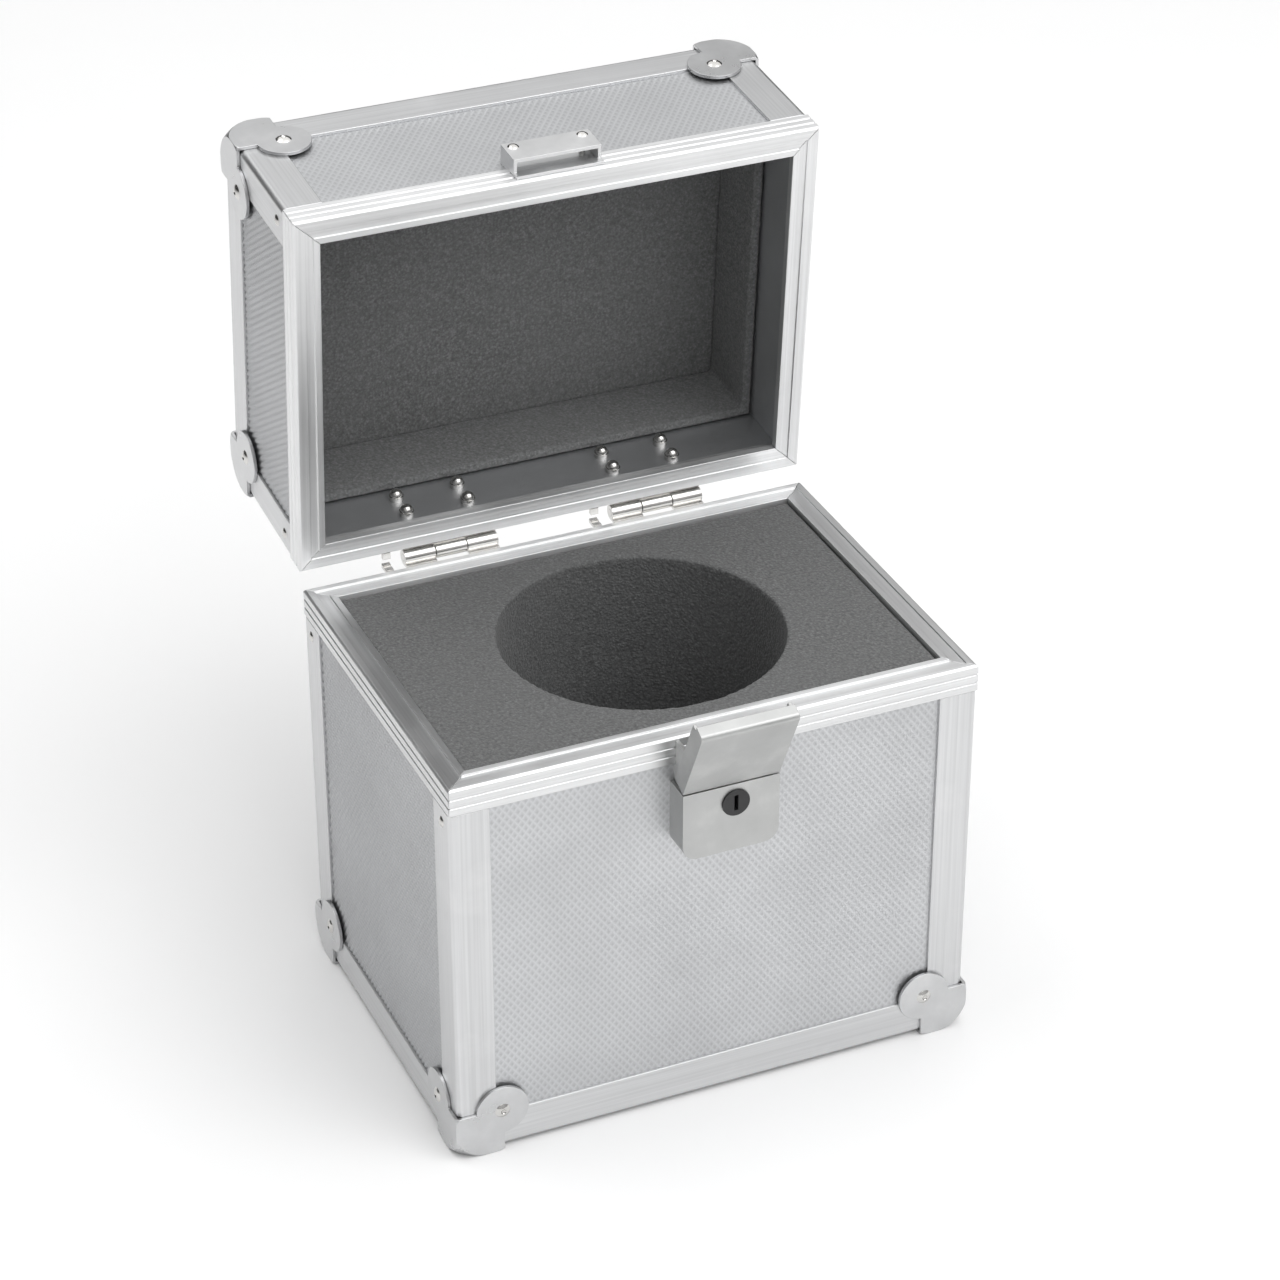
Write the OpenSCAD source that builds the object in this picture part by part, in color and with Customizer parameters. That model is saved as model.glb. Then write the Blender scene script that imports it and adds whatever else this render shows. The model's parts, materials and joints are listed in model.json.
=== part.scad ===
// Small aluminium carrying case with an open hinged lid, a key-locked flap
// latch and a foam block with one round recess.
// Millimetres, +Z up. The origin is the centre of the case's footprint, on the
// plane that the bottom corner guards stand on. The front faces -Y.

/* [Case] */
// Width of the case over its profiles
case_w = 210; // [180:1:260]
// Depth of the case over its profiles
case_d = 152; // [140:1:200]
// Height of the base, from its bottom profiles to the rim
base_h = 163; // [130:1:220]
// Height of the lid, from its rim to its top profiles
lid_h = 75.6; // [65:0.1:110]
// Thickness of the wall panels
panel_t = 4.5; // [3:0.5:6]

/* [Profiles] */
// Leg length of the corner and edge profiles
leg = 15.5; // [14:0.5:17]
// Wall thickness of the profiles
profile_t = 1.4; // [1:0.1:1.6]
// Outer corner radius of the profiles
profile_r = 2.2; // [1.8:0.1:3]
// Width of the rim bars, inwards from the outer face
rim_w = 10.5; // [10:0.1:12]
// Height of the rim bars
rim_h = 11; // [10.5:0.1:12]
// Gap left between the two rims when the lid is shut
seam_gap = 0.4; // [0.2:0.1:0.8]

/* [Corner guards] */
// Sheet thickness of the corner guards
guard_t = 1.4; // [1:0.1:2]
// Length of a guard's cap along each edge
guard_l = 18; // [16:0.5:20]
// Radius of a guard's round lobes
lobe_r = 10.5; // [9:0.5:11]
// Distance of a lobe's centre from both edges
lobe_at = 17.3; // [17:0.1:18]
// Radius of the large rivet heads
rivet_r = 3; // [2.4:0.1:3.4]

/* [Hinges] */
// Distance of each hinge's middle from the case's middle
hinge_x = 43.4; // [40:0.1:60]
// Length of a hinge's knuckles together
hinge_len = 38.5; // [34:0.5:42]
// Distance of the hinge axis behind the back face
hinge_back = 4.2; // [4.1:0.1:4.6]
// Height of the hinge axis above the base's rim
hinge_up = 1.8; // [1.6:0.1:2]
// Outer radius of the knuckles
knuckle_r = 3; // [2.8:0.1:3]
// Radius of the hinge pins
hinge_pin_r = 1.4; // [1.2:0.1:1.6]
// Opening angle of the lid at its stop
open_angle = 85.4; // [0:0.1:85.4]

/* [Latch] */
// Half the width of the latch
latch_half = 19.2; // [18:0.1:21]
// Height of the fixed lock body
lock_body_h = 28.4; // [26:0.2:32]
// How far the latch stands out from the profiles
latch_out = 10.5; // [10:0.5:13]
// Depth of the flap's pivot below the rim
pivot_down = 17; // [16:0.5:18]
// Height of the flap's flat plate above its pivot
flap_h = 35; // [34:0.5:36]
// Angle that the unlocked flap leans out
flap_angle = 26; // [0:1:26]
// Sheet thickness of the latch
latch_t = 1.4; // [1.2:0.1:1.6]
// Radius of the lock cylinder
lock_r = 5; // [4.6:0.1:5.4]
// Distance of the lock to the right of the middle
lock_x = 1.6; // [0:0.1:3]

/* [Foam] */
// Radius of the round recess in the foam block
recess_r = 54.5; // [30:0.5:55]
// Distance of the recess to the right of the middle
recess_x = 2; // [0:0.5:4]
// Thickness of the foam pad under the recess
floor_pad_t = 14; // [8:1:30]
// Thickness of the foam pad in the lid's top
lid_pad_t = 6; // [4:1:10]
// Thickness of the foam strips round the lid's walls
strip_t = 4; // [3:0.5:5]

/* [Handle] */
// Distance between the middles of the handle's arms
handle_w = 104; // [90:1:130]
// Distance from the handle's pivots to the middle of its grip
handle_reach = 27; // [24:1:34]
// Radius of the grip
grip_r = 5.6; // [5:0.1:6]

/* [Hidden] */
$fn = 48;

// Colours
aluminium = [0.80, 0.81, 0.82];
bright_rim = [0.90, 0.91, 0.92];
panel_grey = [0.68, 0.69, 0.71];
steel = [0.74, 0.75, 0.76];
foam_grey = [0.30, 0.31, 0.31];
lock_black = [0.08, 0.08, 0.08];

// Small clearances, and how far a cutting shape runs past what it cuts
play = 0.05;
fit = 0.1;
past = 1;

// Frame of the base and of the shut lid
half_w = case_w / 2;
half_d = case_d / 2;
wall = profile_t + panel_t;
base_z = guard_t;
seam_z = base_z + base_h;
lid_z = seam_z + seam_gap;
lid_top = lid_z + lid_h;

// Rim section: outer land, groove and inner lip
web_t = 3.2;
groove_depth = 0.6;
base_land = 3.4;
lid_land = 4.8;
lip_t = 2.6;
flange_t = 1.4;
flange_h = 9;
rim_bevel = 0.8;
line_w = 0.8;
line_depth = 0.4;
line_1 = 3.6;
line_2 = 7.2;

// Guards, and the cuts of the bars and panels that lie under them
guard_centre = 12;
guard_flat = 2;
guard_ball_r = sqrt(2 * (guard_centre + guard_t) ^ 2 + guard_flat ^ 2);
corner_cut = 5;
panel_cut = 3.2;
rivet_h = 1.1;
dimple_r = 1.3;
dimple_depth = 0.7;
shank_r = 1.5;
shank_l = 5;
small_rivet_r = 2.2;
small_rivet_h = 0.9;
small_shank_r = 1.2;
small_rivet_in = 7.5;
small_rivet_down = 17;

// Hinges
hinge_y = half_d + hinge_back;
hinge_z = seam_z + hinge_up;
leaf_t = 1.2;
leaf_h = 31;
leaf_edge = 1.6;
knuckle_gap = 0.4;
knuckle_len = (hinge_len - 2 * knuckle_gap) / 3;
stop_w = 3.3;
stop_at = 26.2;
stop_h = 4;
stop_t = 1.8;
screw_rows = [14.6, 26];
screw_half = 12.7;
screw_head_r = 2.4;
screw_head_h = 1;
nut_r = 2.9;
nut_dome_r = 2.6;
nut_h = 2;

// Latch
latch_front = half_d + latch_out;
pivot_in = 3;
pivot_y = -latch_front + pivot_in;
pivot_z = seam_z - pivot_down;
latch_pin_r = 1.2;
latch_knuckle_r = 2;
latch_knuckle_half = 9;
lug_half = 17;
lug_front = 1.7;
lug_gap = 0.3;
body_drop = 1.6;
body_top = pivot_z - body_drop;
cheek_gap = 0.2;
cheek_out = 8;
cheek_foot = 6;
cheek_down = 1.2;
body_corner_r = 6;
body_back = half_d - profile_t;
lock_drop = 9.3;
lock_z = pivot_z - lock_drop;
lock_face_r = lock_r + 0.5;
lock_face_t = 0.8;
lock_len = 7.6;
keyway_h = 6.4;
keyway_w = 1.5;
keyway_depth = 5;
cam_l = 9;
cam_w = 6;
cam_t = 1.2;
roll_r = 2;
flange_depth = 8;
hook_in = 5.6;
hook_gap = 0.3;
flap_top = pivot_z + flap_h;
latch_rivet_x = 11;
latch_rivet_up = 7;
latch_rivet_z = body_top - lock_body_h + latch_rivet_up;

// Catch on the lid
catch_half = 17.5;
catch_out = 6.6;
catch_low = 5;
catch_high = flap_top + roll_r - latch_t - hook_gap;
catch_lip_h = 3.2;
catch_rivet_x = 13.8;
catch_rivet_z = catch_high - catch_lip_h;

// Foam
foam_gap = 0.5;
foam_half_w = half_w - rim_w - foam_gap;
foam_half_d = half_d - rim_w - foam_gap;
foam_low = base_z + wall + play;
recess_low = foam_low + floor_pad_t + play;
foam_drop = 1.5;
foam_top = seam_z - foam_drop;
recess_y = -1;
strip_up = 32;
strip_low = lid_z + strip_up;
pad_low = lid_top - wall - play - lid_pad_t;

// Handle
handle_up = 6.2;
handle_z = lid_top + handle_up;
handle_pin_r = 2;
bracket_w = 8;
bracket_neck = 11;
bracket_round = 5.5;
bracket_gap = 0.5;
foot_w = 24;
foot_d = 30;
foot_t = 1.2;
foot_side = 2;
arm_w = 7;
arm_half = 4.4;
bracket_x = handle_w / 2 + arm_w / 2 + bracket_gap + bracket_w / 2;

// ---------------------------------------------------------------- frames

// Carries what is drawn in the shut position to the open position
module on_lid() {
    translate([0, hinge_y, hinge_z])
        rotate([-open_angle, 0, 0])
            translate([0, -hinge_y, -hinge_z])
                children();
}

// Carries what is drawn on the shut flap to its unlocked position
module on_flap() {
    translate([0, pivot_y, pivot_z])
        rotate([flap_angle, 0, 0])
            translate([0, -pivot_y, -pivot_z])
                children();
}

// Turns a drawing of the front side to the side with this number
// (0 front, 1 right, 2 back, 3 left), at that side's distance from the middle
module on_side(side) {
    rotate([0, 0, 90 * side])
        translate([0, -side_reach(side), 0])
            children();
}
function side_reach(side) = side % 2 == 0 ? half_d : half_w;
function side_half(side) = side % 2 == 0 ? half_w : half_d;

// A box from its lowest and highest corners
module block(low, high) {
    translate(low) cube(high - low);
}

// A cylinder along X or along Y, from one place to another
module rod_x(x_low, x_high, y, z, r) {
    translate([x_low, y, z]) rotate([0, 90, 0]) cylinder(r = r, h = x_high - x_low);
}
module rod_y(x, y_low, y_high, z, r) {
    translate([x, y_low, z]) rotate([-90, 0, 0]) cylinder(r = r, h = y_high - y_low);
}

// ---------------------------------------------------------------- panels

panel_half_w = half_w - profile_t - play;
panel_half_d = half_d - wall - play;

// A wall panel between two heights, with its hidden corners cut off. The left and
// right ones fit between the front and the back one.
module wall_panel(side, low, high) {
    half = side % 2 == 0 ? panel_half_w : panel_half_d;
    color(panel_grey) on_side(side)
        translate([0, wall, 0]) rotate([90, 0, 0]) linear_extrude(panel_t)
            polygon([[-half + panel_cut, low], [half - panel_cut, low],
                [half, low + panel_cut], [half, high - panel_cut],
                [half - panel_cut, high], [-half + panel_cut, high],
                [-half, high - panel_cut], [-half, low + panel_cut]]);
}

module base_wall(side) {
    wall_panel(side, base_z + profile_t + play, seam_z - web_t - fit);
}

module lid_wall(side) {
    wall_panel(side, lid_z + web_t + fit, lid_top - profile_t - play);
}

// A flat panel between the four walls
module flat_panel(low) {
    color(panel_grey)
        block([-(half_w - wall - fit), -(half_d - wall - fit), low],
            [half_w - wall - fit, half_d - wall - fit, low + panel_t - play]);
}

// ---------------------------------------------------------------- rim bars

// Section of a rim bar: X inwards from the outer face, Y up to the rim plane
module rim_section(land) {
    inner = wall + fit;
    difference() {
        polygon([[0, -rim_h], [0, -rim_bevel], [rim_bevel, 0], [land, 0],
            [land, -groove_depth], [rim_w - lip_t, -groove_depth], [rim_w - lip_t, 0],
            [rim_w, 0], [rim_w, -web_t], [inner + flange_t, -web_t],
            [inner + flange_t, -flange_h], [inner, -flange_h], [inner, -web_t],
            [profile_t, -web_t], [profile_t, -rim_h]]);
        for (line = [line_1, line_2])
            translate([-line_depth, -line - line_w]) square([2 * line_depth, line_w]);
    }
}

// A bar's plan, mitred at both ends, with its outer corners cut off by some length
module mitre_plan(half, depth, cut) {
    polygon([[-half + cut + play, -past], [half - cut - play, -past], [half - cut - play, cut],
        [half - depth - play, depth], [-half + depth + play, depth], [-half + cut + play, cut]]);
}

module base_rim(side) {
    half = side_half(side);
    color(bright_rim) on_side(side)
        intersection() {
            translate([half, 0, seam_z]) rotate([90, 0, -90])
                linear_extrude(2 * half) mirror([1, 0]) rim_section(base_land);
            translate([0, 0, seam_z - rim_h - past])
                linear_extrude(rim_h + 2 * past) mitre_plan(half, leg, 0);
        }
}

module lid_rim(side) {
    half = side_half(side);
    color(bright_rim) on_side(side)
        intersection() {
            translate([half, 0, lid_z]) rotate([90, 0, -90])
                linear_extrude(2 * half) rotate(180) rim_section(lid_land);
            translate([0, 0, lid_z - past])
                linear_extrude(rim_h + 2 * past) mitre_plan(half, leg, 0);
        }
}

// ---------------------------------------------------------------- L profiles

// Section of an L profile with its outer corner at the origin
module angle_section() {
    difference() {
        union() {
            translate([profile_r, 0]) square([leg - profile_r, leg]);
            translate([0, profile_r]) square([leg, leg - profile_r]);
            translate([profile_r, profile_r]) circle(profile_r);
        }
        translate([profile_t, profile_t]) square(leg);
    }
}

// Corner signs of the four posts: [x, y]
function corner_sign(corner) = [corner % 2 == 0 ? -1 : 1, corner < 2 ? -1 : 1];

// Carries a drawing made inwards from a corner at the origin to a corner of the plan
module at_corner(corner) {
    s = corner_sign(corner);
    translate([s[0] * half_w, s[1] * half_d, 0])
        mirror([s[0] > 0 ? 1 : 0, 0, 0])
            mirror([0, s[1] > 0 ? 1 : 0, 0])
                children();
}

module base_post(corner) {
    low = base_z + leg + fit;
    high = seam_z - rim_h - fit;
    color(aluminium) at_corner(corner)
        translate([0, 0, low]) linear_extrude(high - low) angle_section();
}

module lid_post(corner) {
    low = lid_z + rim_h + fit;
    high = lid_top - leg - fit;
    color(aluminium) at_corner(corner)
        translate([0, 0, low]) linear_extrude(high - low) angle_section();
}

// A mitred edge profile along a side: its flat leg at height 0, its wall leg upwards
module edge_bar(side) {
    half = side_half(side);
    on_side(side)
        intersection() {
            translate([-half, 0, 0]) rotate([90, 0, 90])
                linear_extrude(2 * half) angle_section();
            translate([0, 0, -past])
                linear_extrude(leg + 2 * past) mitre_plan(half, leg + past, corner_cut);
        }
}

module base_edge(side) {
    color(aluminium) translate([0, 0, base_z]) edge_bar(side);
}

module lid_edge(side) {
    color(aluminium) translate([0, 0, lid_top]) mirror([0, 0, 1]) edge_bar(side);
}

// ---------------------------------------------------------------- corner guards

// Places a child drawn on the XY face on each of a corner's three faces
module on_three_faces() {
    children();
    rotate([0, -90, 0]) mirror([0, 0, 1]) children();
    rotate([90, 0, 0]) mirror([0, 0, 1]) children();
}

// A cube whose corner near the origin is rounded by a ball
module rounded_corner(low, high, ball_r) {
    intersection() {
        block([low, low, low], [high, high, high]);
        translate([guard_centre, guard_centre, guard_centre]) sphere(r = ball_r, $fn = 96);
    }
}

// A pressed guard over the corner at the origin, with one round lobe on each face
module corner_guard() {
    difference() {
        union() {
            rounded_corner(-guard_t, guard_l, guard_ball_r);
            on_three_faces()
                translate([lobe_at, lobe_at, -guard_t]) cylinder(r = lobe_r, h = guard_t);
        }
        rounded_corner(-play, guard_l + past, guard_ball_r - guard_t);
        block([guard_centre, -play, -play], [3 * guard_l, 3 * guard_l, 3 * guard_l]);
        block([-play, guard_centre, -play], [3 * guard_l, 3 * guard_l, 3 * guard_l]);
        block([-play, -play, guard_centre], [3 * guard_l, 3 * guard_l, 3 * guard_l]);
    }
}

// A rivet with its head at height 0 and above, its shank below
module rivet(head_r, head_h, r, length) {
    ball = (head_r * head_r + head_h * head_h) / (2 * head_h);
    intersection() {
        translate([0, 0, head_h - ball]) sphere(r = ball, $fn = 96);
        cylinder(r = head_r, h = head_h);
    }
    translate([0, 0, -length]) cylinder(r = r, h = length + head_h / 2);
}

// A guard's rivet, with a dimple in its head
module guard_rivet() {
    translate([lobe_at, lobe_at, -guard_t]) rotate([180, 0, 0])
        difference() {
            rivet(rivet_r, rivet_h, shank_r, shank_l + guard_t);
            translate([0, 0, rivet_h + dimple_r - dimple_depth]) sphere(r = dimple_r, $fn = 64);
        }
}

// The guard rivets' heads stand out on the two walls and lie flush under the case
module base_guard_rivets() {
    rotate([0, -90, 0]) mirror([0, 0, 1]) guard_rivet();
    rotate([90, 0, 0]) mirror([0, 0, 1]) guard_rivet();
    translate([lobe_at, lobe_at, -guard_t]) cylinder(r = rivet_r, h = guard_t);
    translate([lobe_at, lobe_at, -guard_t]) cylinder(r = shank_r, h = shank_l + guard_t);
}

// Small rivets that hold the posts' side legs, at this height
module post_rivets(z) {
    for (corner = [0 : 3])
        at_corner(corner)
            translate([0, small_rivet_in, z]) rotate([0, -90, 0])
                rivet(small_rivet_r, small_rivet_h, small_shank_r, panel_t);
}

module base_corner_guards() {
    color(steel)
        for (corner = [0 : 3])
            at_corner(corner) translate([0, 0, base_z]) corner_guard();
}

module lid_corner_guards() {
    color(steel) on_lid()
        for (corner = [0 : 3])
            at_corner(corner) translate([0, 0, lid_top]) mirror([0, 0, 1]) corner_guard();
}

module base_rivets() {
    color(steel) {
        for (corner = [0 : 3])
            at_corner(corner) translate([0, 0, base_z]) base_guard_rivets();
        post_rivets(seam_z - small_rivet_down);
    }
}

module lid_rivets() {
    color(steel) on_lid() {
        for (corner = [0 : 3])
            at_corner(corner) translate([0, 0, lid_top]) mirror([0, 0, 1])
                on_three_faces() guard_rivet();
        post_rivets(lid_z + small_rivet_down);
        for (s = [-1, 1])
            translate([s * catch_rivet_x, -half_d - catch_out, catch_rivet_z]) rotate([90, 0, 0])
                rivet(small_rivet_r, small_rivet_h, small_shank_r, catch_out + panel_t);
    }
}

// ---------------------------------------------------------------- foam

module foam_block() {
    color(foam_grey)
        difference() {
            block([-foam_half_w, -foam_half_d, recess_low], [foam_half_w, foam_half_d, foam_top]);
            translate([recess_x, recess_y, recess_low - past])
                cylinder(r = recess_r, h = foam_top - recess_low + 2 * past, $fn = 96);
        }
}

module foam_floor_pad() {
    color(foam_grey)
        block([-foam_half_w, -foam_half_d, foam_low],
            [foam_half_w, foam_half_d, foam_low + floor_pad_t]);
}

module lid_foam_pad() {
    inset = wall + foam_gap;
    color(foam_grey) on_lid()
        block([-(half_w - inset), -(half_d - inset), pad_low],
            [half_w - inset, half_d - inset, pad_low + lid_pad_t]);
}

module lid_foam_strips() {
    high = pad_low - foam_gap;
    long_half = half_w - wall - foam_gap;
    short_half = half_d - wall - strip_t - 2 * foam_gap;
    color(foam_grey) on_lid()
        for (side = [0 : 3])
            on_side(side)
                block([-(side % 2 == 0 ? long_half : short_half), wall + foam_gap, strip_low],
                    [side % 2 == 0 ? long_half : short_half, wall + foam_gap + strip_t, high]);
}

// ---------------------------------------------------------------- hinges

// One leaf against the back face, drawn for the base: its plate hangs down from
// the rim plane, steps in over the panel, and its web reaches out to the knuckles
module leaf_plate(x_low, x_high, top) {
    y = half_d;
    step = rim_h + leaf_t;
    below = top - rim_h - fit;
    block([x_low, y, below - fit], [x_high, y + leaf_t, top - leaf_edge]);
    block([x_low, y - profile_t, top - step], [x_high, y + leaf_t, below]);
    block([x_low, y - profile_t, top - leaf_h], [x_high, y - profile_t + leaf_t, below]);
}

// A knuckle round the hinge axis with its web back to the plate
module knuckle(x_low, x_high, web_low) {
    rod_x(x_low, x_high, hinge_y, hinge_z, knuckle_r);
    block([x_low, half_d, web_low], [x_high, hinge_y, web_low + leaf_t]);
}

module hinge_bore() {
    rod_x(-hinge_len, hinge_len, hinge_y, hinge_z, hinge_pin_r + play);
}

// The base's leaf carries the two outer knuckles and the lid's stop
module hinge_base_leaf(x) {
    start = -hinge_len / 2;
    web_low = hinge_z - knuckle_r;
    root_low = seam_z - leaf_edge - leaf_t;
    stop_x = -stop_at - stop_w / 2;
    color(steel) translate([x, 0, 0])
        difference() {
            union() {
                leaf_plate(stop_x, hinge_len / 2, seam_z);
                for (first = [start, hinge_len / 2 - knuckle_len]) {
                    knuckle(first, first + knuckle_len, web_low);
                    block([first, half_d, root_low],
                        [first + knuckle_len, half_d + leaf_t, web_low + leaf_t]);
                }
                block([stop_x, half_d, root_low],
                    [stop_x + stop_w, half_d + leaf_t, web_low + leaf_t]);
                block([stop_x, half_d, web_low], [stop_x + stop_w, hinge_y + stop_t / 2, web_low + leaf_t]);
                block([stop_x, hinge_y - stop_t / 2, web_low],
                    [stop_x + stop_w, hinge_y + stop_t / 2, hinge_z + stop_h]);
            }
            hinge_bore();
        }
}

// The lid's leaf is the same plate upside down with the middle knuckle
module hinge_lid_leaf(x) {
    middle = knuckle_len / 2;
    web_low = hinge_z + knuckle_r - leaf_t;
    color(steel) on_lid() translate([x, 0, 0])
        difference() {
            union() {
                translate([0, 0, lid_z]) mirror([0, 0, 1])
                    leaf_plate(-hinge_len / 2, hinge_len / 2, 0);
                knuckle(-middle, middle, web_low);
            }
            hinge_bore();
            for (first = [-hinge_len / 2 - past, middle + knuckle_gap / 2])
                rod_x(first, first + knuckle_len + past + knuckle_gap / 2, hinge_y, hinge_z,
                    knuckle_r + knuckle_gap);
        }
}

module hinge_pins() {
    color(steel)
        for (s = [-1, 1])
            rod_x(s * hinge_x - hinge_len / 2, s * hinge_x + hinge_len / 2,
                hinge_y, hinge_z, hinge_pin_r);
}

// Screws through a leaf and the back panel, with domed nuts inside
module hinge_screws(z_rows) {
    outer = half_d - profile_t + leaf_t;
    inner = half_d - wall;
    for (side = [-1, 1], s = [-1, 1], z = z_rows) {
        x = side * hinge_x + s * screw_half;
        translate([x, outer, z]) rotate([-90, 0, 0])
            rivet(screw_head_r, screw_head_h, shank_r, outer - inner);
        rod_y(x, inner - nut_h, inner, z, nut_r);
        translate([x, inner - nut_h, z]) sphere(r = nut_dome_r, $fn = 64);
    }
}

module hinge_base_screws() {
    color(steel) hinge_screws([for (row = screw_rows) seam_z - row]);
}

module hinge_lid_screws() {
    color(steel) on_lid() hinge_screws([for (row = screw_rows) lid_z + row]);
}

// ---------------------------------------------------------------- latch

// Front outline of the lock body, inset by some margin, with round lower corners
module body_outline(margin) {
    half = latch_half - margin;
    low = body_top - lock_body_h + margin;
    r = body_corner_r - margin;
    translate([-half, low + r]) square([2 * half, body_top - low - r]);
    translate([-half + r, low]) square([2 * (half - r), 2 * r]);
    for (s = [-1, 1])
        translate([s * (half - r), low + r]) circle(r);
}

// Extrudes a front outline backwards, from one distance ahead of the middle to another
module facing_front(y_front, y_back) {
    translate([0, -y_back, 0]) rotate([90, 0, 0])
        linear_extrude(y_front - y_back) children();
}

// The lock body's shell, open towards the panel and at its top
module body_shell() {
    difference() {
        facing_front(latch_front, body_back) body_outline(0);
        facing_front(latch_front - latch_t, body_back - past) body_outline(latch_t);
        block([-latch_half + latch_t, -latch_front + latch_t, body_top - 2 * latch_t],
            [latch_half - latch_t, -body_back + past, body_top + past]);
    }
}

// The right lug, which holds one end of the flap's pin
module body_lug() {
    inner = latch_knuckle_half + lug_gap;
    back = pivot_y + latch_knuckle_r;
    rod_x(inner, lug_half, pivot_y, pivot_z, latch_knuckle_r);
    block([inner, pivot_y - lug_front, body_top - latch_t], [lug_half, back, pivot_z]);
    block([inner, -latch_front + latch_t / 2, body_top - latch_t], [lug_half, back, body_top - play]);
}

// The right cheek, which goes on upwards inside the flap's side to just below the rim
module body_cheek() {
    inner = latch_half - 2 * latch_t - cheek_gap;
    outer = latch_half - latch_t - cheek_gap;
    front = -half_d - cheek_out;
    rim_low = seam_z - rim_h - fit;
    block([inner, front, body_top - cheek_foot],
        [latch_half - latch_t / 2, -body_back - leaf_t - fit, body_top - play]);
    block([inner, front, body_top - latch_t], [outer, -body_back - leaf_t - fit, rim_low]);
    block([inner, front, body_top + fit], [outer, -body_back - play, rim_low]);
    block([inner, front, rim_low - latch_t], [outer, -half_d - play, seam_z - cheek_down]);
}

module latch_body() {
    color(steel)
        difference() {
            union() {
                body_shell();
                for (s = [-1, 1])
                    mirror([s < 0 ? 1 : 0, 0, 0]) {
                        body_lug();
                        body_cheek();
                    }
            }
            rod_x(-latch_half, latch_half, pivot_y, pivot_z, latch_pin_r + play);
            rod_y(lock_x, -latch_front - past, -latch_front + latch_t + past, lock_z, lock_r + play);
        }
}

module latch_backplate() {
    margin = latch_t + play;
    color(steel)
        facing_front(body_back + leaf_t, body_back + play) body_outline(margin);
}

module latch_rivets() {
    color(steel)
        for (s = [-1, 1])
            translate([s * latch_rivet_x, -body_back - leaf_t, latch_rivet_z]) rotate([90, 0, 0])
                rivet(rivet_r, rivet_h, shank_r, shank_l);
}

module latch_pin() {
    color(steel) rod_x(-lug_half, lug_half, pivot_y, pivot_z, latch_pin_r);
}

// The rolled top of the flap and the hook behind it
module flap_hook() {
    roll_y = -latch_front + roll_r;
    intersection() {
        difference() {
            rod_x(-latch_half, latch_half, roll_y, flap_top, roll_r);
            rod_x(-latch_half - past, latch_half + past, roll_y, flap_top, roll_r - latch_t);
        }
        block([-latch_half, -latch_front - past, flap_top],
            [latch_half, roll_y, flap_top + roll_r + past]);
    }
    block([-latch_half, roll_y - play, flap_top + roll_r - latch_t],
        [latch_half, -latch_front + hook_in, flap_top + roll_r]);
}

// One side flange of the flap, closed up to the hook, from this place along X
module flap_flange(x) {
    block([x, -latch_front, pivot_z], [x + latch_t, -latch_front + flange_depth, flap_top]);
    rod_x(x, x + latch_t, -latch_front + roll_r, flap_top, roll_r);
    block([x, -latch_front + roll_r, flap_top - play],
        [x + latch_t, -latch_front + hook_in, flap_top + roll_r]);
}

// The flap: its plate, side flanges, hook and middle knuckle
module latch_flap() {
    inner = latch_half - latch_t;
    color(steel) on_flap()
        difference() {
            union() {
                block([-latch_half, -latch_front, pivot_z], [latch_half, -latch_front + latch_t, flap_top]);
                for (x = [-latch_half, inner])
                    flap_flange(x);
                flap_hook();
                rod_x(-latch_knuckle_half, latch_knuckle_half, pivot_y, pivot_z, latch_knuckle_r);
                block([-latch_knuckle_half, -latch_front + play, pivot_z],
                    [latch_knuckle_half, pivot_y, pivot_z + latch_knuckle_r]);
            }
            rod_x(-inner, inner, pivot_y, pivot_z, latch_pin_r + play);
            for (s = [-1, 1])
                mirror([s < 0 ? 1 : 0, 0, 0])
                    rod_x(latch_knuckle_half, inner, pivot_y, pivot_z, latch_knuckle_r + lug_gap);
        }
}

module lock_cylinder() {
    front = latch_front + lock_face_t;
    color(lock_black)
        difference() {
            union() {
                rod_y(lock_x, -front, -latch_front - play, lock_z, lock_face_r);
                rod_y(lock_x, -front, -front + lock_face_t + lock_len, lock_z, lock_r);
            }
            block([lock_x - keyway_w / 2, -front - past, lock_z - keyway_h / 2],
                [lock_x + keyway_w / 2, -front + keyway_depth, lock_z + keyway_h / 2]);
        }
}

module lock_cam() {
    y = -latch_front + lock_len;
    color(steel)
        block([lock_x - cam_w / 2, y, lock_z - cam_w / 2], [lock_x + cam_l, y + cam_t, lock_z + cam_w / 2]);
}

// ---------------------------------------------------------------- catch

// A bridge on the lid's front wall that the flap's hook closes over
module catch_plate() {
    out = -half_d - catch_out;
    low = lid_z + catch_low;
    color(steel) on_lid() {
        block([-catch_half, out, low], [catch_half, out + latch_t, catch_high]);
        block([-catch_half, -half_d - leaf_t, low - catch_lip_h],
            [catch_half, -half_d - play, low + leaf_t]);
        for (x = [-catch_half, catch_half - latch_t]) {
            block([x, out, low], [x + latch_t, -half_d - play, catch_high]);
            block([x, out, lid_z + rim_h + fit], [x + latch_t, -half_d + profile_t - play, catch_high]);
        }
        block([-catch_half, -half_d + profile_t - leaf_t, lid_z + rim_h + fit],
            [catch_half, -half_d + profile_t - play, catch_high]);
    }
}

// ---------------------------------------------------------------- handle

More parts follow.
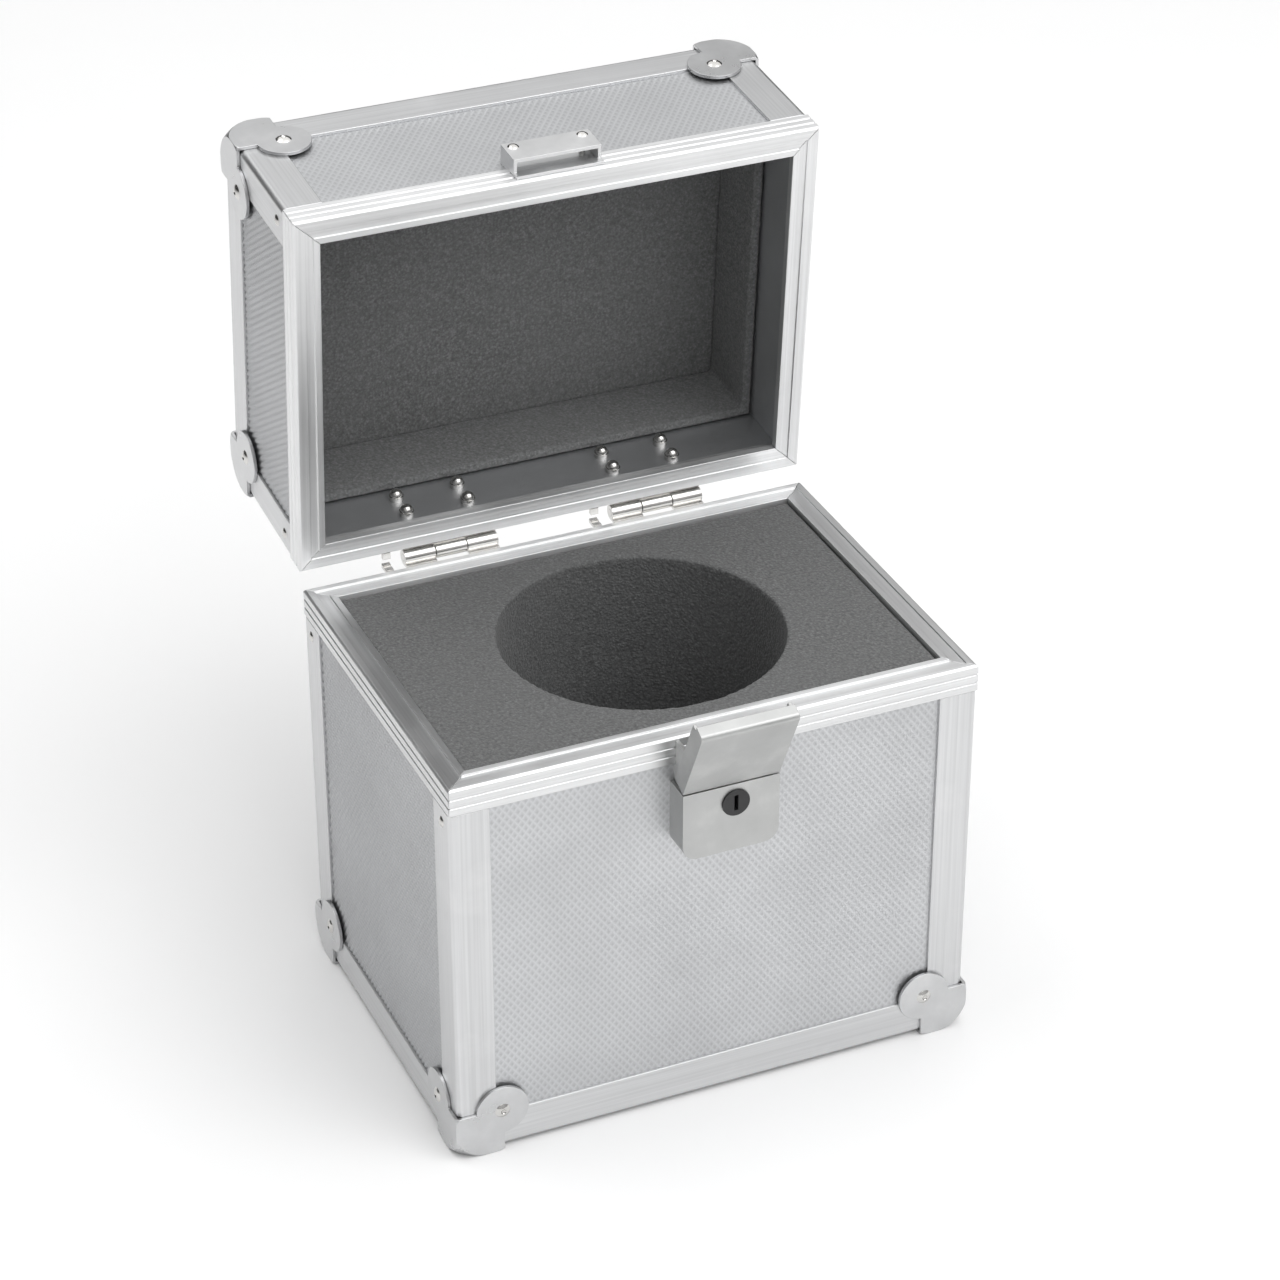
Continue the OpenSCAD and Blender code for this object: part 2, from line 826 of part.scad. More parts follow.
module handle_brackets() {
    plate_low = lid_top - profile_t;
    foot_low = -bracket_w / 2 - foot_side;
    color(steel) on_lid()
        difference() {
            for (s = [-1, 1])
                mirror([s < 0 ? 1 : 0, 0, 0])
                    translate([bracket_x, 0, 0]) {
                        block([foot_low, -foot_d / 2, plate_low + play],
                            [foot_low + foot_w, foot_d / 2, plate_low + foot_t]);
                        block([-bracket_w / 2, -bracket_neck / 2, plate_low + play],
                            [bracket_w / 2, bracket_neck / 2, handle_z]);
                        rod_x(-bracket_w / 2, bracket_w / 2, 0, handle_z, bracket_round);
                    }
            rod_x(-case_w, case_w, 0, handle_z, handle_pin_r + play);
        }
}

module handle_pins() {
    color(steel) on_lid()
        for (s = [-1, 1])
            mirror([s < 0 ? 1 : 0, 0, 0])
                rod_x(handle_w / 2 - arm_w / 2, bracket_x + bracket_w / 2, 0, handle_z, handle_pin_r);
}

module handle_grip() {
    color(lock_black) on_lid()
        difference() {
            union() {
                rod_x(-handle_w / 2 - arm_w / 2, handle_w / 2 + arm_w / 2,
                    handle_reach, handle_z, grip_r);
                for (s = [-1, 1])
                    mirror([s < 0 ? 1 : 0, 0, 0]) {
                        block([handle_w / 2 - arm_w / 2, 0, handle_z - arm_half],
                            [handle_w / 2 + arm_w / 2, handle_reach, handle_z + arm_half]);
                        rod_x(handle_w / 2 - arm_w / 2, handle_w / 2 + arm_w / 2, 0, handle_z, arm_half);
                    }
            }
            rod_x(-case_w, case_w, 0, handle_z, handle_pin_r + play);
        }
}

// ---------------------------------------------------------------- nodes

base_wall(0);  // front_panel
base_wall(2);  // back_panel
base_wall(3);  // left_panel
base_wall(1);  // right_panel
flat_panel(base_z + profile_t);  // bottom_panel
base_rim(0);  // base_rim_front
base_rim(2);  // base_rim_back
base_rim(3);  // base_rim_left
base_rim(1);  // base_rim_right
base_post(0);  // base_post_front_left
base_post(1);  // base_post_front_right
base_post(2);  // base_post_back_left
base_post(3);  // base_post_back_right
base_edge(0);  // base_edge_front
base_edge(2);  // base_edge_back
base_edge(3);  // base_edge_left
base_edge(1);  // base_edge_right
base_corner_guards();
base_rivets();
foam_block();
foam_floor_pad();
hinge_base_leaf(-hinge_x);  // hinge_base_leaf_left
hinge_base_leaf(hinge_x);  // hinge_base_leaf_right
hinge_pins();
hinge_base_screws();
latch_body();
latch_backplate();
latch_rivets();
latch_pin();
latch_flap();
lock_cylinder();
lock_cam();
on_lid() lid_wall(0);  // lid_front_panel
on_lid() lid_wall(2);  // lid_back_panel
on_lid() lid_wall(3);  // lid_left_panel
on_lid() lid_wall(1);  // lid_right_panel
on_lid() flat_panel(lid_top - wall + play);  // lid_top_panel
on_lid() lid_rim(0);  // lid_rim_front
on_lid() lid_rim(2);  // lid_rim_back
on_lid() lid_rim(3);  // lid_rim_left
on_lid() lid_rim(1);  // lid_rim_right
on_lid() lid_post(0);  // lid_post_front_left
on_lid() lid_post(1);  // lid_post_front_right
on_lid() lid_post(2);  // lid_post_back_left
on_lid() lid_post(3);  // lid_post_back_right
on_lid() lid_edge(0);  // lid_edge_front
on_lid() lid_edge(2);  // lid_edge_back
on_lid() lid_edge(3);  // lid_edge_left
on_lid() lid_edge(1);  // lid_edge_right
lid_corner_guards();
lid_rivets();
lid_foam_pad();
lid_foam_strips();
hinge_lid_leaf(-hinge_x);  // hinge_lid_leaf_left
hinge_lid_leaf(hinge_x);  // hinge_lid_leaf_right
hinge_lid_screws();
catch_plate();
handle_brackets();
handle_pins();
handle_grip();
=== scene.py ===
"""A small aluminium carrying case, open, with a flap latch and a foam block with a round recess."""
import json
import math

import bmesh
import bpy
from mathutils import Matrix, Vector, noise


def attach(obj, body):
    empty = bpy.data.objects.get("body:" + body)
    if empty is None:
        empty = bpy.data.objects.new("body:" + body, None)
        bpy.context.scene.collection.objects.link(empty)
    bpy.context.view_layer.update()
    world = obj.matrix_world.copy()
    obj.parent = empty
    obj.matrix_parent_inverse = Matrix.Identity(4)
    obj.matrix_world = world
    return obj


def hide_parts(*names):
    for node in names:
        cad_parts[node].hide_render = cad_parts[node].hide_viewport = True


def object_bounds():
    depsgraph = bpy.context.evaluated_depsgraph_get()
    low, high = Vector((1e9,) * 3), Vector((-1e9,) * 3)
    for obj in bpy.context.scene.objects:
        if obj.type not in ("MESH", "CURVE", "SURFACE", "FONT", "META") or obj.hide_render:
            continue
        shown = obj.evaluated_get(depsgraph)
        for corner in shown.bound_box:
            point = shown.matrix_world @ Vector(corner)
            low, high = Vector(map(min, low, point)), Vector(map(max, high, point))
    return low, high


MM = 0.001

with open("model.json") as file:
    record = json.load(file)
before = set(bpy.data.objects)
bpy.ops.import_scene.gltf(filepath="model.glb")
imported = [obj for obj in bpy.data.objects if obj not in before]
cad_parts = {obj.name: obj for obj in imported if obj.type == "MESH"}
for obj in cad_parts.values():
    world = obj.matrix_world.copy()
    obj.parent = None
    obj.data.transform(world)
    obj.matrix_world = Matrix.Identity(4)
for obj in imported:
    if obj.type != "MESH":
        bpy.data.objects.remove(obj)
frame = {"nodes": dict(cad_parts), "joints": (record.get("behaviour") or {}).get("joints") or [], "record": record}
cad_low, cad_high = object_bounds()


# ---------------------------------------------------------------- frame

BODY_OF = {
    node: body
    for body, nodes in frame["record"]["behaviour"]["bodies"].items()
    for node in nodes
}
JOINTS = {joint["name"]: joint for joint in frame["joints"]}


def turned_home(joint_name, direction):
    """The matrix that carries a shape drawn at the joint's upper limit to where it rests."""
    joint = JOINTS[joint_name]
    pivot = Vector(joint["pos_m"])
    angle = math.radians(direction * joint["range_deg"][1])
    turn = Matrix.Rotation(angle, 4, Vector(joint["axis"]))
    return Matrix.Translation(pivot) @ turn @ Matrix.Translation(-pivot)


LID_OPEN = turned_home("lid_hinge", -1)
FLAP_OPEN = turned_home("latch_hinge", -1)
HOME = {"lid": LID_OPEN, "handle": LID_OPEN, "flap": FLAP_OPEN}


def home_of(node):
    """The matrix from the shut case, where bars and panels run along the axes, to the rest pose."""
    return HOME.get(BODY_OF[node], Matrix.Identity(4))


def shut_box(node):
    """Lowest and highest corner of a CAD node on the shut case."""
    back = home_of(node).inverted()
    points = [back @ vertex.co for vertex in frame["nodes"][node].data.vertices]
    low = Vector(min(point[axis] for point in points) for axis in range(3))
    high = Vector(max(point[axis] for point in points) for axis in range(3))
    return low, high


# ---------------------------------------------------------------- materials

def new_material(name):
    """A material, its node tree and its shader node."""
    material = bpy.data.materials.new(name)
    material.use_nodes = True
    tree = material.node_tree
    return material, tree, tree.nodes["Principled BSDF"]


def add(tree, kind, settings=None, **inputs):
    """Adds a node. Inputs are given by socket name, with spaces as underscores."""
    node = tree.nodes.new(kind)
    for key, value in (settings or {}).items():
        setattr(node, key, value)
    for key, value in inputs.items():
        socket = node.inputs[key.replace("_", " ")]
        if isinstance(value, bpy.types.NodeSocket):
            tree.links.new(value, socket)
        else:
            socket.default_value = value
    return node


def shut_coordinates(tree, home):
    """Object coordinates turned back to the shut case, so that grain follows the bars."""
    place = add(tree, "ShaderNodeTexCoord").outputs["Object"]
    turn = home.inverted().to_euler()
    return add(tree, "ShaderNodeMapping", Vector=place, Rotation=tuple(turn)).outputs["Vector"]


def stretched(tree, coordinates, scale):
    """Coordinates scaled by axis, for a pattern that is longer one way than the others."""
    return add(tree, "ShaderNodeMapping", Vector=coordinates, Scale=scale).outputs["Vector"]


def grain(tree, coordinates, scale, detail=3.0, roughness=0.6):
    """Noise from 0 to 1."""
    texture = add(tree, "ShaderNodeTexNoise", Vector=coordinates, Scale=scale, Detail=detail,
                  Roughness=roughness)
    return texture.outputs["Fac"]


def ranged(tree, value, low, high, in_low=0.3, in_high=0.7):
    """A value's middle stretch, spread from low to high."""
    node = add(tree, "ShaderNodeMapRange", Value=value, From_Min=in_low, From_Max=in_high,
               To_Min=low, To_Max=high)
    return node.outputs["Result"]


def shaded(colour, factor):
    """A colour made darker or lighter."""
    return tuple(min(1.0, factor * channel) for channel in colour)


def mixed(tree, factor, colour_a, colour_b):
    """Two colours mixed. Each is a tuple or another node's output."""
    node = add(tree, "ShaderNodeMix", {"data_type": "RGBA"})
    tree.links.new(factor, node.inputs["Factor"])
    for socket, colour in ((node.inputs[6], colour_a), (node.inputs[7], colour_b)):
        if isinstance(colour, bpy.types.NodeSocket):
            tree.links.new(colour, socket)
        else:
            socket.default_value = (*colour, 1.0)
    return node.outputs[2]


def bump(tree, height, distance, strength=1.0):
    """A normal from a height pattern."""
    return add(tree, "ShaderNodeBump", Height=height, Distance=distance,
               Strength=strength).outputs["Normal"]


def rubbed(tree, marks, amount):
    """0 on most of the metal, rising to amount where handling has rubbed it bright."""
    return ranged(tree, marks, 0.0, amount, in_low=0.55, in_high=0.75)


def drawn_metal(name, colour, roughness, anisotropy, along, home):
    """Metal with fine draw lines along one axis (0 X, 1 Y, 2 Z) of the shut case."""
    material, tree, shader = new_material(name)
    place = shut_coordinates(tree, home)
    line_scale = [LINE_FINENESS if axis != along else LINE_FINENESS / LINE_LENGTH for axis in range(3)]
    lines = grain(tree, stretched(tree, place, line_scale), 1.0, detail=2.0)
    smudges = grain(tree, place, 28.0, detail=5.0)
    base = mixed(tree, ranged(tree, lines, 0.25, 1.0), shaded(colour, 0.86), shaded(colour, 1.06))
    base = mixed(tree, rubbed(tree, smudges, 0.3), base, RUBBED_ALUMINIUM)
    rough = add(tree, "ShaderNodeMath", {"operation": "ADD"})
    tree.links.new(ranged(tree, smudges, roughness - 0.05, roughness + 0.06), rough.inputs[0])
    tree.links.new(ranged(tree, lines, -0.03, 0.03), rough.inputs[1])
    direction = home.to_3x3() @ Vector([1.0 if axis == along else 0.0 for axis in range(3)])
    tangent = add(tree, "ShaderNodeVectorTransform",
                  {"vector_type": "VECTOR", "convert_from": "OBJECT", "convert_to": "WORLD"},
                  Vector=tuple(direction))
    tree.links.new(base, shader.inputs["Base Color"])
    tree.links.new(rough.outputs[0], shader.inputs["Roughness"])
    tree.links.new(bump(tree, lines, 0.00002, 0.35), shader.inputs["Normal"])
    tree.links.new(tangent.outputs[0], shader.inputs["Tangent"])
    shader.inputs["Metallic"].default_value = 1.0
    shader.inputs["Anisotropic"].default_value = anisotropy
    shader.inputs["Anisotropic Rotation"].default_value = 0.25
    return material


def plated_metal(name, colour, roughness):
    """Nickel plate: smooth, with faint smudges and small scratches."""
    material, tree, shader = new_material(name)
    place = add(tree, "ShaderNodeTexCoord").outputs["Object"]
    smudges = grain(tree, place, 60.0, detail=6.0)
    scratches = grain(tree, stretched(tree, place, (2500.0, 240.0, 900.0)), 1.0, detail=2.0)
    base = mixed(tree, ranged(tree, smudges, 0.0, 1.0), shaded(colour, 0.84), colour)
    tree.links.new(mixed(tree, rubbed(tree, smudges, 0.12), base, RUBBED_NICKEL),
                   shader.inputs["Base Color"])
    tree.links.new(ranged(tree, smudges, roughness - 0.05, roughness + 0.08),
                   shader.inputs["Roughness"])
    tree.links.new(bump(tree, scratches, 0.00001, 0.3), shader.inputs["Normal"])
    shader.inputs["Metallic"].default_value = 1.0
    return material


def embossed_metal(name, colour, roughness):
    """The skin of the panels: satin aluminium with a light orange-peel, and painted shade darkening the sunken
    ground between its diamonds.
    """
    material, tree, shader = new_material(name)
    place = add(tree, "ShaderNodeTexCoord").outputs["Object"]
    peel = grain(tree, place, 1400.0, detail=2.0)
    clouds = grain(tree, place, 18.0, detail=4.0)
    base = mixed(tree, ranged(tree, clouds, 0.0, 1.0), shaded(colour, 0.86), colour)
    # Painted shade: where the pointiness is low, on the sunken ground between the raised diamonds, the base colour
    # is darkened.
    pointed = add(tree, "ShaderNodeNewGeometry").outputs["Pointiness"]
    painted_shade_in_dips = ranged(tree, pointed, 0.9, 0.0, in_low=0.44, in_high=0.54)
    tree.links.new(mixed(tree, painted_shade_in_dips, base, shaded(colour, 0.45)), shader.inputs["Base Color"])
    tree.links.new(ranged(tree, peel, roughness - 0.06, roughness + 0.08),
                   shader.inputs["Roughness"])
    tree.links.new(bump(tree, peel, 0.00003, 0.4), shader.inputs["Normal"])
    shader.inputs["Metallic"].default_value = 1.0
    return material


def lining(name, colour):
    """Dark flocked lining on the inner side of the panels."""
    material, tree, shader = new_material(name)
    place = add(tree, "ShaderNodeTexCoord").outputs["Object"]
    fibres = grain(tree, place, 1800.0, detail=3.0, roughness=0.8)
    patches = grain(tree, place, 40.0, detail=4.0)
    base = mixed(tree, ranged(tree, fibres, 0.0, 1.0), shaded(colour, 0.6), shaded(colour, 1.5))
    tree.links.new(mixed(tree, ranged(tree, patches, 0.0, 0.3), base, colour),
                   shader.inputs["Base Color"])
    tree.links.new(ranged(tree, patches, 0.7, 0.85), shader.inputs["Roughness"])
    tree.links.new(bump(tree, fibres, 0.0001, 0.6), shader.inputs["Normal"])
    shader.inputs["Specular IOR Level"].default_value = 0.2
    return material


def foam(name, colour):
    """Open-cell foam: lighter and darker specks at random, and painted shade in the pores among lighter cell
    walls, at two sizes.
    """
    material, tree, shader = new_material(name)
    place = add(tree, "ShaderNodeTexCoord").outputs["Object"]
    cells = add(tree, "ShaderNodeTexVoronoi", Vector=place, Scale=950.0).outputs["Distance"]
    specks = grain(tree, place, 700.0, detail=4.0, roughness=0.75)
    patches = grain(tree, place, 22.0, detail=4.0)
    dark = shaded(colour, 0.6)
    base = mixed(tree, ranged(tree, specks, 0.0, 1.0, 0.35, 0.65), dark, shaded(colour, 1.5))
    # Painted shade: the pores, where the cell pattern sinks the bump, are darkened in the base colour.
    base = mixed(tree, ranged(tree, cells, 0.0, 0.55, 0.2, 0.7), base, dark)
    tree.links.new(mixed(tree, ranged(tree, patches, 0.0, 0.35), base, colour),
                   shader.inputs["Base Color"])
    height = add(tree, "ShaderNodeMath", {"operation": "SUBTRACT"})
    tree.links.new(specks, height.inputs[0])
    tree.links.new(cells, height.inputs[1])
    tree.links.new(bump(tree, height.outputs[0], 0.0004, 0.8), shader.inputs["Normal"])
    shader.inputs["Roughness"].default_value = 0.95
    shader.inputs["Specular IOR Level"].default_value = 0.2
    shader.inputs["Sheen Weight"].default_value = 0.15
    shader.inputs["Sheen Roughness"].default_value = 0.5
    return material


def moulded(name, colour, roughness):
    """Moulded or painted surface with a fine grain."""
    material, tree, shader = new_material(name)
    place = add(tree, "ShaderNodeTexCoord").outputs["Object"]
    pores = grain(tree, place, 1600.0, detail=2.0)
    wear = grain(tree, place, 70.0, detail=5.0)
    light = tuple(1.8 * channel + 0.01 for channel in colour)
    tree.links.new(mixed(tree, ranged(tree, wear, 0.0, 0.6), colour, light),
                   shader.inputs["Base Color"])
    tree.links.new(ranged(tree, wear, roughness - 0.08, roughness + 0.1),
                   shader.inputs["Roughness"])
    tree.links.new(bump(tree, pores, 0.00005, 0.5), shader.inputs["Normal"])
    return material


def paper_white(name):
    """The pale floor."""
    material, tree, shader = new_material(name)
    place = add(tree, "ShaderNodeTexCoord").outputs["Object"]
    mottle = grain(tree, place, 3.0, detail=4.0)
    tree.links.new(mixed(tree, mottle, (0.95, 0.95, 0.95), (0.98, 0.98, 0.98)),
                   shader.inputs["Base Color"])
    shader.inputs["Roughness"].default_value = 0.9
    return material


RUBBED_ALUMINIUM = (0.9, 0.9, 0.9)
RUBBED_NICKEL = (0.9, 0.89, 0.87)
PROFILE_COLOUR = (0.655, 0.659, 0.665)
RIM_COLOUR = (0.785, 0.789, 0.793)
PANEL_COLOUR = (0.755, 0.764, 0.778)
NICKEL_COLOUR = (0.70, 0.69, 0.67)
SATIN_NICKEL_COLOUR = (0.545, 0.55, 0.545)
FOAM_COLOUR = (0.146, 0.148, 0.148)
LID_FOAM_COLOUR = (0.20, 0.203, 0.203)
LINING_COLOUR = (0.022, 0.022, 0.022)
BLACK = (0.012, 0.012, 0.013)
GRIP_COLOUR = (0.02, 0.02, 0.021)

# Draw lines per metre across a bar, and how many times longer than wide they are
LINE_FINENESS = 900.0
LINE_LENGTH = 100.0

BASE_HOME = Matrix.Identity(4)
AXIS_NAMES = "xyz"
PROFILE = {
    (part, axis): drawn_metal(f"profile_{part}_{AXIS_NAMES[axis]}", PROFILE_COLOUR, 0.38, 0.3,
                              axis, home)
    for part, home in (("base", BASE_HOME), ("lid", LID_OPEN))
    for axis in range(3)
}
RIM = {
    (part, axis): drawn_metal(f"rim_{part}_{AXIS_NAMES[axis]}", RIM_COLOUR, 0.40, 0.7, axis, home)
    for part, home in (("base", BASE_HOME), ("lid", LID_OPEN))
    for axis in range(2)
}
SKIN = embossed_metal("panel_skin", PANEL_COLOUR, 0.46)
LINING = lining("panel_lining", LINING_COLOUR)
GUARD = plated_metal("guard_steel", PROFILE_COLOUR, 0.30)
NICKEL = plated_metal("bright_nickel", NICKEL_COLOUR, 0.16)
SATIN_NICKEL = plated_metal("satin_nickel", SATIN_NICKEL_COLOUR, 0.44)
SATIN_STEEL = plated_metal("satin_steel", RIM_COLOUR, 0.40)
BASE_FOAM = foam("base_foam", FOAM_COLOUR)
LID_FOAM = foam("lid_foam", LID_FOAM_COLOUR)
LOCK_BLACK = moulded("lock_black", BLACK, 0.35)
GRIP_BLACK = moulded("grip_black", GRIP_COLOUR, 0.5)


# ---------------------------------------------------------------- building pieces

def link(name, mesh, node, *materials):
    """Makes an object of a mesh in the rest pose, which stands for a CAD node and rides on its body."""
    piece = bpy.data.objects.new(name, mesh)
    bpy.context.scene.collection.objects.link(piece)
    mesh.materials.clear()
    for material in materials:
        mesh.materials.append(material)
    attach(piece, BODY_OF[node])
    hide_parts(node)
    return piece


def tidy_copy(node):
    """A copy of a CAD node's mesh with its flat faces whole, so that its edges can be rounded."""
    mesh = frame["nodes"][node].data.copy()
    mesh.materials.clear()
    stored_normals = mesh.attributes.get("custom_normal")
    if stored_normals:
        mesh.attributes.remove(stored_normals)
    shape = bmesh.new()
    shape.from_mesh(mesh)
    bmesh.ops.remove_doubles(shape, verts=shape.verts, dist=0.002 * MM)
    bmesh.ops.dissolve_limit(shape, angle_limit=math.radians(0.4), verts=shape.verts,
                             edges=shape.edges)
    bmesh.ops.recalc_face_normals(shape, faces=shape.faces)
    for face in shape.faces:
        face.smooth = True
        face.material_index = 0
    shape.to_mesh(mesh)
    shape.free()
    return mesh


def soften_edges(piece, width, segments=2, limit=32.0):
    """Rounds a piece's sharp edges, so that they catch the light."""
    bevel = piece.modifiers.new("edges", "BEVEL")
    bevel.width = width
    bevel.segments = segments
    bevel.limit_method = "ANGLE"
    bevel.angle_limit = math.radians(limit)
    bevel.harden_normals = False
    bevel.use_clamp_overlap = True
    normals = piece.modifiers.new("normals", "WEIGHTED_NORMAL")
    normals.keep_sharp = True
    normals.weight = 80


def refined(node, material, width, segments=2):
    """A piece with the CAD node's own shape and rounded edges."""
    piece = link(f"{node}_finished", tidy_copy(node), node, material)
    soften_edges(piece, width, segments)
    return piece


# A point inside the shut case
MIDDLE = Vector((0.0, 0.0, 0.5 * (cad_low.z + JOINTS["lid_hinge"]["pos_m"][2])))

# Raised diamonds of the panels' skin: half of each diagonal, and their height
DIAMOND_U = 1.45 * MM
DIAMOND_V = 1.95 * MM
DIAMOND_H = 0.7 * MM
SKIN_T = 0.5 * MM
SKIN_MARGIN = 0.4 * MM
PANEL_CUT = 3.2 * MM


def outline(u_low, u_high, v_low, v_high, cut):
    """A rectangle's outline with its four corners cut off, anticlockwise."""
    return [(u_low + cut, v_low), (u_high - cut, v_low), (u_high, v_low + cut),
            (u_high, v_high - cut), (u_high - cut, v_high), (u_low + cut, v_high),
            (u_low, v_high - cut), (u_low, v_low + cut)]


def diamond_points(u_low, u_high, v_low, v_high):
    """Corner points and pointed faces of raised diamonds that cover a rectangle and reach over it."""
    columns = range(math.floor(u_low / DIAMOND_U) - 1, math.ceil(u_high / DIAMOND_U) + 2)
    rows = range(math.floor(v_low / DIAMOND_V) - 1, math.ceil(v_high / DIAMOND_V) + 2)
    points = []
    index = {}
    for column in columns:
        for row in rows:
            raised = (column + row) % 2 == 0
            index[column, row] = len(points)
            points.append((column * DIAMOND_U, row * DIAMOND_V, DIAMOND_H if raised else 0.0))
    faces = []
    for column, row in index:
        if (column + row) % 2:
            continue
        ring = [(column + 1, row), (column, row + 1), (column - 1, row), (column, row - 1)]
        if all(corner in index for corner in ring):
            for here, there in zip(ring, ring[1:] + ring[:1]):
                faces.append((index[here], index[there], index[column, row]))
    return points, faces


def embossed_sheet(border):
    """A closed sheet with raised diamonds, cut square along its border."""
    us = [corner[0] for corner in border]
    vs = [corner[1] for corner in border]
    points, faces = diamond_points(min(us), max(us), min(vs), max(vs))
    mesh = bpy.data.meshes.new("sheet")
    mesh.from_pydata(points, [], faces)
    sheet = bmesh.new()
    sheet.from_mesh(mesh)
    bpy.data.meshes.remove(mesh)
    for here, there in zip(border, border[1:] + border[:1]):
        outward = Vector((there[1] - here[1], here[0] - there[0], 0.0)).normalized()
        bmesh.ops.bisect_plane(sheet, geom=sheet.verts[:] + sheet.edges[:] + sheet.faces[:],
                               plane_co=(*here, 0.0), plane_no=outward, clear_outer=True,
                               dist=0.001 * MM)
    for face in sheet.faces:
        face.smooth = True
    rim = [edge for edge in sheet.edges if edge.is_boundary]
    walls = bmesh.ops.extrude_edge_only(sheet, edges=rim)["geom"]
    for vertex in walls:
        if isinstance(vertex, bmesh.types.BMVert):
            vertex.co.z = -SKIN_T
    bottom = [edge for edge in walls if isinstance(edge, bmesh.types.BMEdge) and edge.is_boundary]
    bmesh.ops.edgenet_fill(sheet, edges=bottom)
    return sheet


def add_board(shape, border, thickness):
    """Adds the board behind a skin, with bevelled edges, to a bmesh."""
    corners = [shape.verts.new((*corner, -SKIN_T)) for corner in border]
    face = shape.faces.new(corners)
    made = bmesh.ops.extrude_face_region(shape, geom=[face])["geom"]
    moved = [item for item in made if isinstance(item, bmesh.types.BMVert)]
    bmesh.ops.translate(shape, verts=moved, vec=(0.0, 0.0, -(thickness - SKIN_T)))
    edges = {edge for vertex in corners + moved for edge in vertex.link_edges}
    bmesh.ops.bevel(shape, geom=list(edges), offset=0.3 * MM, segments=2, profile=0.5,
                    affect="EDGES")


def panel(node):
    """A wall panel: an embossed skin on a lined board, drawn flat and then set in place."""
    low, high = shut_box(node)
    size = high - low
    through = min(range(3), key=lambda axis: size[axis])
    outward = 1.0 if (low[through] + high[through]) * 0.5 > MIDDLE[through] else -1.0
    along, across = [axis for axis in range(3) if axis != through]
    reach = (low[along], high[along], low[across], high[across])
    inset = (SKIN_MARGIN, -SKIN_MARGIN, SKIN_MARGIN, -SKIN_MARGIN)
    sheet = embossed_sheet(outline(*[edge + step for edge, step in zip(reach, inset)], PANEL_CUT))
    skin_faces = set(sheet.faces)
    add_board(sheet, outline(*reach, PANEL_CUT), size[through])
    outer = high[through] if outward > 0 else low[through]
    home = home_of(node)
    for vertex in sheet.verts:
        place = Vector((0.0, 0.0, 0.0))
        place[along] = vertex.co.x
        place[across] = vertex.co.y
        place[through] = outer + outward * vertex.co.z
        vertex.co = home @ place
    for face in sheet.faces:
        face.material_index = 0 if face in skin_faces else 1
    bmesh.ops.recalc_face_normals(sheet, faces=sheet.faces)
    mesh = bpy.data.meshes.new(node)
    sheet.to_mesh(mesh)
    sheet.free()
    return link(f"{node}_finished", mesh, node, SKIN, LINING)


# How far foam's surface is sunk by its pores, and how many pores and swells there are in a metre
PORE = 0.16 * MM
PORES_PER_METRE = 420.0
SWELLS_PER_METRE = 38.0


def foam_piece(node, material, voxel, swell):
    """A foam part: its CAD solid with soft edges and an uneven, open-cell surface."""
    piece = link(f"{node}_finished", tidy_copy(node), node, material)
    remesh = piece.modifiers.new("cells", "REMESH")
    remesh.mode = "VOXEL"
    remesh.voxel_size = voxel
    graph = bpy.context.evaluated_depsgraph_get()
    mesh = bpy.data.meshes.new_from_object(piece.evaluated_get(graph))
    piece.modifiers.clear()
    piece.data = mesh
    normals = [vertex.normal.copy() for vertex in mesh.vertices]
    for vertex, normal in zip(mesh.vertices, normals):
        fine = noise.noise(vertex.co * PORES_PER_METRE)
        coarse = noise.noise(vertex.co * SWELLS_PER_METRE)
        vertex.co -= normal * (PORE * (0.5 + 0.5 * fine) + swell * (0.5 + 0.5 * coarse))
    mesh.materials.clear()
    mesh.materials.append(material)
    for face in mesh.polygons:
        face.use_smooth = True
        face.material_index = 0
    return piece


# ---------------------------------------------------------------- the case

for name in ("front_panel", "back_panel", "left_panel", "right_panel", "lid_front_panel",
             "lid_back_panel", "lid_left_panel", "lid_right_panel", "bottom_panel", "lid_top_panel"):
    panel(name)

SIDES = {"front": 0, "back": 0, "left": 1, "right": 1}
for part in ("base", "lid"):
    for side, axis in SIDES.items():
        refined(f"{part}_rim_{side}", RIM[part, axis], 0.25 * MM)
        refined(f"{part}_edge_{side}", PROFILE[part, axis], 0.3 * MM)
    for corner in ("front_left", "front_right", "back_left", "back_right"):
        refined(f"{part}_post_{corner}", PROFILE[part, 2], 0.3 * MM)
    refined(f"{part}_corner_guards", GUARD, 0.35 * MM)

for name in ("hinge_base_leaf_left", "hinge_base_leaf_right", "hinge_lid_leaf_left",
             "hinge_lid_leaf_right"):
    refined(name, NICKEL, 0.2 * MM)
for name in ("catch_plate", "handle_brackets"):
    refined(name, SATIN_STEEL, 0.2 * MM)

refined("latch_body", SATIN_NICKEL, 0.45 * MM, segments=3)
refined("latch_flap", SATIN_NICKEL, 0.4 * MM, segments=3)
refined("lock_cylinder", LOCK_BLACK, 0.2 * MM)
refined("handle_grip", GRIP_BLACK, 1.4 * MM, segments=4)

foam_piece("foam_block", BASE_FOAM, voxel=1.3 * MM, swell=0.2 * MM)
foam_piece("foam_floor_pad", BASE_FOAM, voxel=2.0 * MM, swell=0.2 * MM)
foam_piece("lid_foam_pad", LID_FOAM, voxel=1.2 * MM, swell=0.2 * MM)
foam_piece("lid_foam_strips", LID_FOAM, voxel=1.0 * MM, swell=0.1 * MM)

